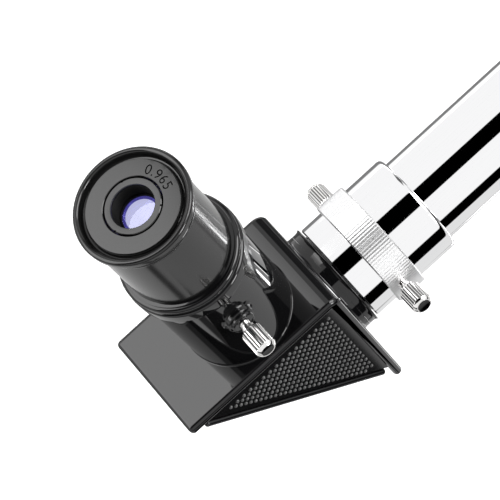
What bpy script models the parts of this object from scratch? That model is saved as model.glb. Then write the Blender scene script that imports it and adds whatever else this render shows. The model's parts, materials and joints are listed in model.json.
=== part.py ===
"""A small 50 mm, f = 360 mm refractor with a rack focuser, a right-angle mirror
diagonal and a 24.5 mm (0.965 inch) eyepiece.

Everything is laid out in millimetres in the optical frame: the light runs along -X
from the objective, meets the diagonal's mirror at (0, 0, 0) and leaves along +Z.
The finished part stands in metres with its origin at the middle of the thread in the
mounting foot, so at() moves each place by the foot's position.
"""

from math import acos, cos, pi, radians, sin, sqrt, tan

import bmesh
import bpy
from mathutils import Matrix, Vector

MM = 0.001
EASY = 0.1  # gap between pieces that slip together, mm
GAP = 0.3  # gap between pieces that lie on each other, mm

# Barrels: the 24.5 mm standard sets the drawtube, the nose and the eyepiece.
BARREL_R = 12.25
BORE_R = BARREL_R + EASY

# Diagonal
PLATE_TOP = 21.55  # outer face of the eyepiece plate above the light axis
PLATE_FRONT = 20.5  # outer face of the nose plate ahead of the eyepiece axis
PLATE_LENGTH = 48.54
PLATE_THICK = 3.2
CORNER_R = 3.5  # outer corner between the two plates
NOSE_PLATE_THICK = 2.7
NOSE_PLATE_LOW = -33.5
PLATE_HALF = 16.3
WEDGE_HALF = 15.3
BACK_ANGLE = radians(47.8)  # slope of the wedge's back, a little steeper than the mirror
WEDGE_BACK = -5.3  # back of the wedge, measured square to itself from the mirror's centre
MIRROR_THICK = 3.0
COVER_THICK = 1.7
SOCKET_R = 14.35
SOCKET_TOP = 61.6
NOSE_END = 42.2
BOSS_R = 14.6
SCREW_Z = 44.5  # height of the socket's thumbscrew

# Eyepiece
EYE_BODY_R = 13.5
EYE_BODY_LOW = 61.9
EYE_FACE = 88.5
EYE_HOLE_R = 5.3
RETAINER_R = 6.95
EYE_LENS_TOP = 82.9
BARREL_LOW = 37.0

# Collar and drawtube
COLLAR_FRONT = 24.8
COLLAR_BACK = 51.7
COLLAR_R = 14.25
KNURL_R = 15.65
KNURL_START = 31.4
KNURL_END = 39.7
COLLAR_SCREW_TURN = 10.0  # degrees from -Y towards +Z
COLLAR_SCREW_X = 34.6
TUBE_START = 43.0
TUBE_END = 160.0
TUBE_WALL = 0.9

# Focuser
FOCUSER_BACK = 97.0
FOCUSER_R = 18.0
FOCUSER_BORE = 13.4
HUB_END = 128.0
PINION_X = 118.0
MODULE = 1.0
PINION_TEETH = 12
PINION_R = MODULE * PINION_TEETH / 2
PITCH = pi * MODULE
PRESSURE = radians(20)
RACK_ADDENDUM = 0.7
RACK_DEDENDUM = 1.1
PINION_ADDENDUM = 0.85
BACKLASH = 0.3
RACK_TOP = -12.4
RACK_ROOT = -14.3
RACK_TIP = RACK_ROOT - RACK_ADDENDUM - RACK_DEDENDUM
PINION_Z = RACK_TIP + RACK_ADDENDUM - PINION_R
RACK_START = 82.0
RACK_END = 152.0
RACK_HALF = 3.0
SHAFT_R = 2.5
LOCK_X = 110.0  # where the lock screw meets the drawtube
BLOCK_X = (105.0, 131.0)
BLOCK_HALF = 10.0
BLOCK_LOW = -30.0
KNOB_R = 14.0

# Main tube and objective
MAIN_R = 29.0
MAIN_WALL = 1.0
MAIN_START = 156.3
MAIN_END = 302.0
SPIGOT_R = MAIN_R - MAIN_WALL - 0.2
LENS_R = 26.0
CELL_BORE = LENS_R + 0.15
SEAT_R = 24.8
SEAT_X = 295.0
DEW_R = 32.8
DEW_WALL = 1.4
DEW_START = 282.0
DEW_END = 352.0

# Mounting foot
FOOT_X = 205.0
FOOT_LOW = -43.0
FOOT_LENGTH = 44.0
FOOT_HALF = 13.0
THREAD_R = 2.65  # 1/4-20 inch thread, tap drill size

SMOOTH = 36
FINE = 24
SMALL = 12
TINY = 8

AXIS_X = Vector((1, 0, 0))
AXIS_Y = Vector((0, 1, 0))
AXIS_Z = Vector((0, 0, 1))
MIRROR_NORMAL = Vector((1, 0, 1)).normalized()
MIRROR_ALONG = Vector((1, 0, -1)).normalized()
BACK_NORMAL = Vector((sin(BACK_ANGLE), 0, cos(BACK_ANGLE)))
BACK_ALONG = Vector((cos(BACK_ANGLE), 0, -sin(BACK_ANGLE)))


def at(x, y, z):
    """A place in the optical frame, in metres from the foot's thread."""
    return Vector((x - FOOT_X, y, z - FOOT_LOW)) * MM


for old in list(bpy.data.objects):
    bpy.data.objects.remove(old, do_unlink=True)

telescope = bpy.data.collections.new("refractor_telescope")
cutters = bpy.data.collections.new("cutters")
for collection in (telescope, cutters):
    bpy.context.scene.collection.children.link(collection)


def material(name, colour, roughness, metallic=0.0):
    made = bpy.data.materials.new(name)
    made.use_nodes = True
    shader = made.node_tree.nodes["Principled BSDF"]
    shader.inputs["Base Color"].default_value = (*colour, 1.0)
    shader.inputs["Roughness"].default_value = roughness
    shader.inputs["Metallic"].default_value = metallic
    return made


GLOSS_BLACK = material("gloss_black", (0.02, 0.02, 0.022), 0.15)
SATIN_BLACK = material("satin_black", (0.045, 0.045, 0.048), 0.4)
MATT_BLACK = material("matt_black", (0.02, 0.02, 0.02), 0.85)
CHROME = material("chrome", (0.92, 0.92, 0.92), 0.06, 1.0)
STEEL = material("steel", (0.62, 0.62, 0.64), 0.3, 1.0)
BRASS = material("brass", (0.80, 0.62, 0.30), 0.3, 1.0)
WHITE = material("white_enamel", (0.86, 0.87, 0.88), 0.22)
GLASS = material("coated_glass", (0.72, 0.74, 0.95), 0.03)
MIRROR = material("mirror", (0.93, 0.94, 0.95), 0.02, 1.0)
FOAM = material("foam", (0.10, 0.10, 0.11), 0.95)
NYLON = material("nylon", (0.78, 0.77, 0.72), 0.5)


# ---------------------------------------------------------------- shape helpers


def finish(obj, look, smooth=True):
    """Put an object in the telescope, or among the cutters when it has no look."""
    if look is None:
        cutters.objects.link(obj)
        obj.hide_render = True
        obj.display_type = "WIRE"
        return obj
    telescope.objects.link(obj)
    obj.data.materials.append(look)
    if smooth and obj.type == "MESH":
        obj.data.shade_smooth()
    return obj


def turned(name, look, outline, axis=AXIS_X, centre=(0, 0, 0), steps=SMOOTH):
    """Turn an outline of (distance along the axis, radius) pairs, in mm.

    The outline starts at its far end and runs back along the outer side. One that
    starts and ends on the axis makes a solid, and any other is closed into a ring.
    """
    solid = outline[0][1] == 0 and outline[-1][1] == 0
    mesh = bpy.data.meshes.new(name)
    places = [(radius * MM, 0, height * MM) for height, radius in outline]
    count = len(places)
    edges = [(i, i + 1) for i in range(count - 1)]
    if not solid:
        edges.append((count - 1, 0))
    mesh.from_pydata(places, edges, [])
    obj = bpy.data.objects.new(name, mesh)
    obj.location = at(*centre)
    obj.rotation_mode = "QUATERNION"
    obj.rotation_quaternion = Vector(axis).to_track_quat("Z", "Y")
    screw = obj.modifiers.new("Turn", "SCREW")
    screw.axis = "Z"
    screw.angle = 2 * pi
    screw.steps = steps
    screw.render_steps = steps
    screw.use_merge_vertices = True
    screw.merge_threshold = 0.00001
    screw.use_smooth_shade = True
    return finish(obj, look)


def rod(name, look, radius, start, end, axis=AXIS_X, centre=(0, 0, 0), steps=SMALL):
    """A plain round bar between two distances along an axis."""
    outline = [(end, 0), (end, radius), (start, radius), (start, 0)]
    return turned(name, look, outline, axis, centre, steps)


def ring(name, look, outer, inner, start, end, axis=AXIS_X, centre=(0, 0, 0), steps=SMOOTH):
    """A plain round ring between two distances along an axis."""
    outline = [(end, outer), (start, outer), (start, inner), (end, inner)]
    return turned(name, look, outline, axis, centre, steps)


def block(name, look, low, high, turn=None):
    """A box between two corners in the optical frame, turned about the mirror's centre."""
    bpy.ops.mesh.primitive_cube_add(size=1)
    obj = bpy.context.active_object
    obj.name = name
    obj.data.name = name
    for collection in list(obj.users_collection):
        collection.objects.unlink(obj)
    low, high = Vector(low), Vector(high)
    sides = (high - low) * MM
    obj.data.transform(Matrix.Diagonal((*sides, 1)))
    middle = (low + high) / 2
    if turn is None:
        obj.location = at(*middle)
    else:
        obj.data.transform(Matrix.Translation(middle * MM))
        obj.data.transform(turn)
        obj.location = at(0, 0, 0)
    return finish(obj, look, smooth=False)


def round_edges(obj, width):
    rounding = obj.modifiers.new("Rounding", "BEVEL")
    rounding.width = width * MM
    rounding.segments = 2
    rounding.limit_method = "ANGLE"


def prism(name, look, outline, low, high, bevel=0.0):
    """An outline of (x, z) points, extruded along Y between low and high, in mm."""
    mesh = bpy.data.meshes.new(name)
    sheet = bmesh.new()
    corners = [sheet.verts.new(at(x, low, z)) for x, z in outline]
    face = sheet.faces.new(corners)
    swept = bmesh.ops.extrude_face_region(sheet, geom=[face])["geom"]
    moved = [part for part in swept if isinstance(part, bmesh.types.BMVert)]
    bmesh.ops.translate(sheet, verts=moved, vec=Vector((0, (high - low) * MM, 0)))
    bmesh.ops.recalc_face_normals(sheet, faces=sheet.faces)
    sheet.to_mesh(mesh)
    sheet.free()
    obj = bpy.data.objects.new(name, mesh)
    if bevel:
        round_edges(obj, bevel)
    return finish(obj, look, smooth=False)


def combine(target, others, operation):
    for other in others:
        change = target.modifiers.new(operation.title(), "BOOLEAN")
        change.operation = operation
        change.solver = "EXACT"
        change.object = other
    return target


def cut(target, *others):
    return combine(target, others, "DIFFERENCE")


def join(target, *others):
    return combine(target, others, "UNION")


def across(degrees):
    """A unit vector square to X, turned by degrees from -Y towards +Z."""
    turn = radians(degrees)
    return Vector((0, -cos(turn), sin(turn)))


# The mirror frame: local X runs down the mirror, local Z is its normal.
MIRROR_TURN = Matrix((MIRROR_ALONG, AXIS_Y, MIRROR_NORMAL)).transposed().to_4x4()
BACK_TURN = Matrix((BACK_ALONG, AXIS_Y, BACK_NORMAL)).transposed().to_4x4()


# ---------------------------------------------------------------- fasteners


def thumbscrew(name, tip, shoulder, axis, centre):
    """A thin shank from tip to shoulder with a round knurled head beyond it."""
    shank, head, length, chamfer = 1.25, 2.75, 6.8, 0.5
    end = shoulder + length
    outline = [
        (end + 0.4, 0),
        (end, head - 2 * chamfer),
        (end - chamfer, head),
        (shoulder + chamfer, head),
        (shoulder, head - chamfer),
        (shoulder, shank),
        (tip + chamfer, shank),
        (tip, shank - chamfer),
        (tip, 0),
    ]
    return turned(name, CHROME, outline, axis, centre, SMALL)


def pan_screw(name, tip, seat, axis, centre, shank=1.1, head=2.1, height=1.4):
    """A pan-head screw whose head lies beyond its seat, along the axis."""
    top = seat + height
    outline = [
        (top, 0),
        (top, 0.6 * head),
        (seat + 0.5 * height, head),
        (seat, head),
        (seat, shank),
        (tip, shank),
        (tip, 0),
    ]
    return turned(name, STEEL, outline, axis, centre, TINY)


def screw_hole(radius, start, end, axis, centre=(0, 0, 0), steps=TINY):
    return rod("hole_cutter", None, radius, start, end, axis, centre, steps)


# ---------------------------------------------------------------- diagonal


def make_diagonal():
    plate_back = PLATE_FRONT - PLATE_LENGTH
    inner_top = PLATE_TOP - PLATE_THICK
    inner_front = PLATE_FRONT - NOSE_PLATE_THICK
    front, top = inner_front + 0.5, inner_top + 0.5
    wedge_outline = [
        (front, top),
        ((WEDGE_BACK - top * BACK_NORMAL.z) / BACK_NORMAL.x, top),
        (front, (WEDGE_BACK - front * BACK_NORMAL.x) / BACK_NORMAL.z),
    ]
    corner = []
    for step in range(5):
        turn = radians(90 - 22.5 * step)
        centre_x, centre_z = PLATE_FRONT - CORNER_R, PLATE_TOP - CORNER_R
        corner.append((centre_x + CORNER_R * cos(turn), centre_z + CORNER_R * sin(turn)))
    body = prism("diagonal_housing", GLOSS_BLACK, wedge_outline, -WEDGE_HALF, WEDGE_HALF)
    plates = prism(
        "plates_union",
        None,
        [
            (plate_back, inner_top),
            (plate_back, PLATE_TOP),
            *corner,
            (PLATE_FRONT, NOSE_PLATE_LOW),
            (inner_front, NOSE_PLATE_LOW),
            (inner_front, inner_top),
        ],
        -PLATE_HALF,
        PLATE_HALF,
        bevel=0.8,
    )
    lip_r = SOCKET_R + 1.15
    socket = turned(
        "socket_union",
        None,
        [
            (SOCKET_TOP, SOCKET_R + 0.3),
            (SOCKET_TOP - 1.4, lip_r - 0.3),
            (SOCKET_TOP - 2.8, SOCKET_R + 0.6),
            (SOCKET_TOP - 4.2, lip_r),
            (SOCKET_TOP - 6.2, lip_r),
            (SOCKET_TOP - 7.8, SOCKET_R),
            (PLATE_TOP + 1.6, SOCKET_R),
            (PLATE_TOP + 0.4, SOCKET_R + 0.5),
            (PLATE_TOP - 0.6, SOCKET_R + 1.5),
            (PLATE_TOP - 0.6, BORE_R),
            (SOCKET_TOP, BORE_R),
        ],
        AXIS_Z,
    )
    nose_boss = ring("nose_boss_union", None, BOSS_R, 12.4, PLATE_FRONT - 1, 22.0)
    screw_place = (0, 0, SCREW_Z)
    screw_boss = ring("screw_boss_union", None, 3.1, 1.6, 13.3, 16.3, -AXIS_Y, screw_place, SMALL)
    join(body, plates, socket, nose_boss, screw_boss)

    light_front, light_top = 14.2, 16.5
    light_path = prism(
        "light_path_cutter",
        None,
        [(light_front, light_top), (-light_top, light_top), (light_front, -light_front)],
        -11.5,
        11.5,
    )
    pocket = block(
        "mirror_pocket_cutter",
        None,
        (-19.5, -13.3, WEDGE_BACK - 6),
        (19.5, 13.3, 0.2),
        turn=MIRROR_TURN,
    )
    socket_bore = rod("socket_bore_cutter", None, 11.5, 15.5, 24.0, AXIS_Z, steps=SMOOTH)
    nose_bore = rod("nose_bore_cutter", None, 12.0, 13.0, 26.0, AXIS_X, steps=SMOOTH)
    screw_bore = screw_hole(1.4, 8.0, 18.0, -AXIS_Y, screw_place)
    cut(body, nose_bore, light_path, pocket, screw_bore, socket_bore)

    turned(
        "nose_barrel",
        SATIN_BLACK,
        [
            (NOSE_END, 10.9 + 0.5),
            (NOSE_END - 0.8, BARREL_R),
            (24.5, BARREL_R),
            (24.5, 14.5),
            (24.0, 15.0),
            (22.8, 15.0),
            (22.3, 14.5),
            (22.3, 11.9),
            (16.8, 11.9),
            (16.8, 10.9),
            (NOSE_END, 10.9),
        ],
    )
    block(
        "diagonal_mirror",
        MIRROR,
        (-18.0, -13.0, -0.1 - MIRROR_THICK),
        (18.0, 13.0, -0.1),
        turn=MIRROR_TURN,
    )
    pad_front = -0.4 - MIRROR_THICK
    cover_front = WEDGE_BACK - 0.2
    cover_back = cover_front - COVER_THICK
    block("mirror_pad", FOAM, (-15, -11, pad_front - 1.0), (15, 11, pad_front), turn=MIRROR_TURN)
    cover = block(
        "back_cover",
        GLOSS_BLACK,
        (-29.0, -PLATE_HALF + 0.3, cover_back),
        (31.8, PLATE_HALF - 0.3, cover_front),
        turn=BACK_TURN,
    )
    places = [(-24.0, -8.0), (-24.0, 8.0), (27.0, -8.0), (27.0, 8.0)]
    for number, (along, side) in enumerate(places, 1):
        foot = BACK_ALONG * along + AXIS_Y * side
        hole = screw_hole(1.2, 1.0, 9.0, -BACK_NORMAL, foot)
        cut(cover, hole)
        cut(body, hole)
        name = f"cover_screw_{number}"
        pan_screw(name, 1.5, 0.15 - cover_back, -BACK_NORMAL, foot, shank=1.0, head=1.9, height=1.1)
    thumbscrew("socket_thumbscrew", BARREL_R + 0.2, 19.4, -AXIS_Y, screw_place)


# ---------------------------------------------------------------- eyepiece


def plano_outline(top, low, radius, dome_radius, curvature):
    """A lens that is flat above, with a flat rim and a dome that bulges below it."""
    depth = curvature - sqrt(curvature**2 - dome_radius**2)
    outline = [(top, 0), (top, radius), (low, radius), (low, dome_radius)]
    for share in (0.75, 0.4, 0.0):
        radius = share * dome_radius
        drop = depth - curvature + sqrt(curvature**2 - radius**2)
        outline.append((low - drop, radius))
    return outline


def make_eyepiece():
    rim = EYE_FACE + 0.7
    turned(
        "eyepiece_body",
        SATIN_BLACK,
        [
            (rim, 13.6),
            (rim - 0.5, 14.2),
            (rim - 1.6, 14.4),
            (rim - 3.0, 14.0),
            (rim - 5.0, 13.3),
            (EYE_BODY_LOW + 0.5, EYE_BODY_R),
            (EYE_BODY_LOW, EYE_BODY_R - 0.4),
            (EYE_BODY_LOW, 11.0),
            (76.0, 11.0),
            (76.0, 5.6),
            (79.9, 5.6),
            (79.9, RETAINER_R + EASY),
            (EYE_FACE, RETAINER_R + 0.15),
            (EYE_FACE, 11.5),
            (EYE_FACE - 1.2, 11.8),
            (EYE_FACE - 1.2, 12.6),
            (EYE_FACE + 0.3, 13.0),
        ],
        AXIS_Z,
    )
    turned(
        "eyepiece_barrel",
        CHROME,
        [
            (72.0, 10.9),
            (EYE_BODY_LOW - 0.2, 10.9),
            (EYE_BODY_LOW - 0.2, BARREL_R),
            (BARREL_LOW + 0.6, BARREL_R),
            (BARREL_LOW, BARREL_R - 0.5),
            (BARREL_LOW, 10.1),
            (56.0, 10.1),
            (56.0, 9.0),
            (57.0, 9.0),
            (57.0, 9.7),
            (72.0, 9.7),
        ],
        AXIS_Z,
    )
    eye_lens = plano_outline(EYE_LENS_TOP, EYE_LENS_TOP - 2.8, 6.8, 5.2, 12.0)
    turned("eye_lens", GLASS, eye_lens, AXIS_Z, steps=FINE)
    retainer = ring(
        "eye_lens_retainer",
        SATIN_BLACK,
        RETAINER_R,
        EYE_HOLE_R,
        EYE_LENS_TOP + 0.2,
        EYE_FACE,
        AXIS_Z,
        steps=FINE,
    )
    slot = block("retainer_slot_cutter", None, (-8, -0.4, EYE_FACE - 0.5), (8, 0.4, EYE_FACE + 1))
    slot.rotation_euler = (0, 0, radians(45))
    cut(retainer, slot)
    field_lens = plano_outline(55.8, 53.0, 9.9, 8.5, 20.0)
    turned("field_lens", GLASS, field_lens, AXIS_Z, steps=FINE)
    ring("field_lens_retainer", MATT_BLACK, 9.95, 8.8, 50.4, 52.8, AXIS_Z, steps=FINE)
    ring("field_stop", MATT_BLACK, 9.55, 7.4, 61.0, 62.0, AXIS_Z, steps=FINE)


# ---------------------------------------------------------------- collar, drawtube and rack


def rack_outline():
    """The rack's long side: a straight back and trapezoid teeth, one gap over the pinion."""
    lean = tan(PRESSURE)
    height = RACK_ADDENDUM + RACK_DEDENDUM
    half_pitch_width = (PITCH - BACKLASH) / 4
    root_half = half_pitch_width + RACK_DEDENDUM * lean
    tip_half = half_pitch_width - RACK_ADDENDUM * lean
    first = int((RACK_START + root_half - PINION_X) / PITCH)
    last = int((RACK_END - root_half - PINION_X) / PITCH)
    points = [(RACK_START, RACK_TOP), (RACK_START, RACK_ROOT)]
    for number in range(first, last):
        middle = PINION_X + (number + 0.5) * PITCH
        points += [
            (middle - root_half, RACK_ROOT),
            (middle - tip_half, RACK_ROOT - height),
            (middle + tip_half, RACK_ROOT - height),
            (middle + root_half, RACK_ROOT),
        ]
    return points + [(RACK_END, RACK_ROOT), (RACK_END, RACK_TOP)]


def make_drawtube():
    tube = ring("drawtube", CHROME, BARREL_R, BARREL_R - TUBE_WALL, TUBE_START, TUBE_END)
    collar = turned(
        "drawtube_collar",
        CHROME,
        [
            (COLLAR_BACK, COLLAR_R - 0.9),
            (COLLAR_BACK - 0.9, COLLAR_R),
            (KNURL_END, COLLAR_R),
            (KNURL_END, KNURL_R),
            (KNURL_START, KNURL_R),
            (KNURL_START, COLLAR_R),
            (COLLAR_FRONT + 0.3, COLLAR_R),
            (COLLAR_FRONT, COLLAR_R - 0.3),
            (COLLAR_FRONT, BORE_R),
            (COLLAR_BACK, BORE_R),
        ],
    )
    for letter, turn in (("near", COLLAR_SCREW_TURN), ("far", COLLAR_SCREW_TURN + 180)):
        place = (COLLAR_SCREW_X, 0, 0)
        cut(collar, screw_hole(1.4, 8.0, 18.0, across(turn), place))
        thumbscrew(f"collar_thumbscrew_{letter}", BARREL_R + 0.2, 18.4, across(turn), place)
    ring("drawtube_baffle", MATT_BLACK, 11.2, 9.4, TUBE_END - 3, TUBE_END - 1, steps=FINE)

    rack = prism("focus_rack", NYLON, rack_outline(), -RACK_HALF, RACK_HALF)
    for end, x in (("rear", RACK_START + 3.5), ("front", RACK_END - 6.0)):
        hole = screw_hole(1.15, -14.0, -8.0, AXIS_Z, (x, 0, 0))
        cut(tube, hole)
        cut(rack, hole)
        pan_screw(f"rack_screw_{end}", -13.85, -11.2, AXIS_Z, (x, 0, 0), shank=1.0, head=1.7, height=0.9)


# ---------------------------------------------------------------- focuser


def involute_outline():
    """A pinion's outline as (x, z) about its centre, with one tooth pointing up."""
    base = PINION_R * cos(PRESSURE)
    tip = PINION_R + PINION_ADDENDUM
    root = PINION_R - 1.0
    spread = tan(PRESSURE) - PRESSURE
    half_tooth = (PITCH - BACKLASH) / 4 / PINION_R
    points = []
    for number in range(PINION_TEETH):
        middle = 2 * pi * number / PINION_TEETH
        flank = []
        for radius in (root, base, (base + tip) / 2, tip):
            lean = 0.0
            if radius > base:
                angle = acos(base / radius)
                lean = tan(angle) - angle
            flank.append((radius, half_tooth + spread - lean))
        side = [(radius, middle - turn) for radius, turn in flank]
        side += [(radius, middle + turn) for radius, turn in reversed(flank)]
        points += [(radius * sin(turn), radius * cos(turn)) for radius, turn in side]
    return points


def make_focuser():
    body = turned(
        "focuser_body",
        SATIN_BLACK,
        [
            (168.0, SPIGOT_R),
            (156.0, SPIGOT_R),
            (156.0, 30.6),
            (151.5, 30.6),
            (150.5, 29.8),
            (146.0, 28.2),
            (132.0, 20.2),
            (HUB_END, FOCUSER_R),
            (FOCUSER_BACK + 1.0, FOCUSER_R),
            (FOCUSER_BACK, FOCUSER_R - 1.0),
            (FOCUSER_BACK, FOCUSER_BORE),
            (HUB_END, FOCUSER_BORE),
            (146.0, 25.6),
            (168.0, 25.6),
        ],
    )
    housing = block(
        "pinion_block_union",
        None,
        (BLOCK_X[0], -BLOCK_HALF, BLOCK_LOW),
        (BLOCK_X[1], BLOCK_HALF, -14.5),
    )
    round_edges(housing, 1.0)
    rack_way = block(
        "rack_way_cutter", None, (90, -RACK_HALF - 0.4, RACK_TIP - 0.5), (170, RACK_HALF + 0.4, -9)
    )
    room_r, room_steps = 7.5, 14
    arch = [(PINION_X - room_r, BLOCK_LOW - 1), (PINION_X + room_r, BLOCK_LOW - 1)]
    for step in range(room_steps + 1):
        turn = pi * step / room_steps
        arch.append((PINION_X + room_r * cos(turn), PINION_Z + room_r * sin(turn)))
    pinion_room = prism("pinion_room_cutter", None, arch, -4.2, 4.2)
    shaft_way = screw_hole(SHAFT_R + EASY, -20, 20, AXIS_Y, (PINION_X, 0, PINION_Z), FINE)
    lock_way = screw_hole(1.4, 8.0, 20.0, AXIS_Z, (LOCK_X, 0, 0))
    join(body, housing)
    cut(body, shaft_way, lock_way, rack_way, pinion_room)

    for end, start in (("rear", FOCUSER_BACK + 0.6), ("front", HUB_END - 8.0)):
        bush = ring(f"drawtube_bush_{end}", NYLON, FOCUSER_BORE - EASY, BORE_R, start, start + 7.0)
        cut(bush, rack_way)

    cap = block(
        "pinion_cap",
        SATIN_BLACK,
        (BLOCK_X[0], -BLOCK_HALF, BLOCK_LOW - GAP - 2.4),
        (BLOCK_X[1], BLOCK_HALF, BLOCK_LOW - GAP),
    )
    number = 0
    for x in (BLOCK_X[0] + 2.8, BLOCK_X[1] - 2.8):
        for y in (-7.2, 7.2):
            number += 1
            hole = screw_hole(1.25, 23.0, 40.0, -AXIS_Z, (x, y, 0))
            cut(cap, hole)
            cut(body, hole)
            pan_screw(f"cap_screw_{number}", 24.0, 2.9 - BLOCK_LOW, -AXIS_Z, (x, y, 0))

    for number, turn in enumerate((95, 215, 335), 1):
        place = (162.0, 0, 0)
        hole = screw_hole(1.35, 20.0, 34.0, across(turn), place)
        cut(body, hole)
        cut(MAIN_TUBE, hole)
        pan_screw(f"tube_screw_{number}", 25.9, MAIN_R + 0.15, across(turn), place, 1.2, 2.3)
    thumbscrew("focus_lock_screw", BARREL_R + 0.2, 21.0, AXIS_Z, (LOCK_X, 0, 0))


def make_pinion():
    centre = (PINION_X, 0, PINION_Z)
    outline = [(PINION_X + x, PINION_Z + z) for x, z in involute_outline()]
    pinion = prism("pinion_gear", BRASS, outline, -3.8, 3.8)
    cut(pinion, screw_hole(SHAFT_R + EASY, -8, 8, AXIS_Y, centre, FINE))
    shaft = rod("pinion_shaft", STEEL, SHAFT_R, -28.7, 28.7, AXIS_Y, centre, FINE)
    for side, axis in (("left", -AXIS_Y), ("right", AXIS_Y)):
        turned(
            f"focus_knob_{side}",
            SATIN_BLACK,
            [
                (31.4, KNOB_R - 1.0),
                (30.4, KNOB_R),
                (19.6, KNOB_R),
                (18.8, KNOB_R - 0.8),
                (18.8, 7.0),
                (14.5, 6.0),
                (14.5, SHAFT_R + EASY),
                (29.0, SHAFT_R + EASY),
                (29.0, 1.6),
                (31.4, 1.6),
            ],
            axis,
            centre,
            FINE,
        )
        cut(shaft, screw_hole(1.4, 20.0, 35.0, axis, centre))
        pan_screw(f"knob_screw_{side}", 21.0, 31.6, axis, centre, shank=1.25, head=3.0, height=1.8)


# ---------------------------------------------------------------- main tube and objective

MAIN_TUBE = ring("main_tube", WHITE, MAIN_R, MAIN_R - MAIN_WALL, MAIN_START, MAIN_END)


def lens_outline(front, back, front_sag, back_sag, radius):
    """Front and back are the rim's ends; each sag is how far that face stands past them."""
    shares = (0.85, 0.6, 0.3)
    outline = [(front + front_sag, 0)]
    outline += [(front + front_sag * (1 - s * s), s * radius) for s in reversed(shares)]
    outline += [(front, radius), (back, radius)]
    outline += [(back - back_sag * (1 - s * s), s * radius) for s in shares]
    return outline + [(back - back_sag, 0)]


def make_objective():
    turned(
        "objective_cell",
        SATIN_BLACK,
        [
            (309.0, 27.8),
            (305.0, 28.0),
            (305.0, 30.0),
            (302.3, 30.0),
            (302.3, SPIGOT_R),
            (288.0, SPIGOT_R),
            (288.0, 25.8),
            (292.5, 25.8),
            (292.5, SEAT_R),
            (SEAT_X, SEAT_R),
            (SEAT_X, CELL_BORE),
            (309.0, CELL_BORE),
        ],
    )
    crown = lens_outline(302.2, 299.6, 1.5, 1.5, LENS_R)
    flint = lens_outline(298.7, 295.2, -1.0, 0.0, LENS_R)
    turned("crown_lens", GLASS, crown, steps=FINE)
    turned("flint_lens", GLASS, flint, steps=FINE)
    ring("lens_spacer", MATT_BLACK, LENS_R - 0.1, 25.0, 298.9, 299.4, steps=FINE)
    ring("lens_retaining_ring", SATIN_BLACK, LENS_R, SEAT_R, 302.5, 305.5, steps=FINE)
    turned(
        "dew_shield",
        SATIN_BLACK,
        [
            (DEW_END, DEW_R - 0.4),
            (DEW_END - 0.4, DEW_R),
            (DEW_START + 1.0, DEW_R),
            (DEW_START, DEW_R - 1.0),
            (DEW_START, MAIN_R + EASY),
            (DEW_START + 6.0, MAIN_R + EASY),
            (DEW_START + 6.0, DEW_R - DEW_WALL),
            (DEW_END, DEW_R - DEW_WALL),
        ],
    )
    for name, x, inner in (("rear", 236.0, 18.0), ("front", 268.0, 22.0)):
        turned(
            f"tube_baffle_{name}",
            MATT_BLACK,
            [(x + 4, SPIGOT_R), (x, SPIGOT_R), (x, inner), (x + 1, inner), (x + 1, 27), (x + 4, 27)],
            steps=FINE,
        )


def make_foot():
    half = FOOT_LENGTH / 2
    foot = block(
        "mounting_foot",
        SATIN_BLACK,
        (FOOT_X - half, -FOOT_HALF, FOOT_LOW),
        (FOOT_X + half, FOOT_HALF, -22.0),
    )
    round_edges(foot, 2.0)
    saddle = rod("saddle_cutter", None, MAIN_R + EASY, 150, 260, steps=SMOOTH)
    insert_way = screw_hole(5.1, 33.0, 45.0, -AXIS_Z, (FOOT_X, 0, 0), SMALL)
    cut(foot, saddle, insert_way)
    ring(
        "tripod_thread_insert",
        BRASS,
        5.0,
        THREAD_R,
        33.2,
        -FOOT_LOW - 0.2,
        -AXIS_Z,
        (FOOT_X, 0, 0),
        steps=SMALL,
    )
    for name, x in (("rear", FOOT_X - 14), ("front", FOOT_X + 14)):
        hole = screw_hole(1.75, -39.0, -24.0, AXIS_Z, (x, 0, 0))
        cut(foot, hole)
        cut(MAIN_TUBE, hole)
        pan_screw(f"foot_screw_{name}", -38.0, -27.75, AXIS_Z, (x, 0, 0), 1.6, 3.2, 2.0)


make_diagonal()
make_eyepiece()
make_drawtube()
make_focuser()
make_pinion()
make_objective()
make_foot()
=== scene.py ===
"""The looks of a small refractor telescope: a chromed drawtube and collar, a glossy black
mirror diagonal with a low-power eyepiece, and a white tube with satin black fittings.

Shapes are made in millimetres. Turned parts are drawn as (height, radius) outlines round
Z and then laid along their own axes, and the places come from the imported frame.
"""

import json
from math import cos, pi, radians, sin, tau

import bmesh
import bpy
from mathutils import Matrix, Vector


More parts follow.
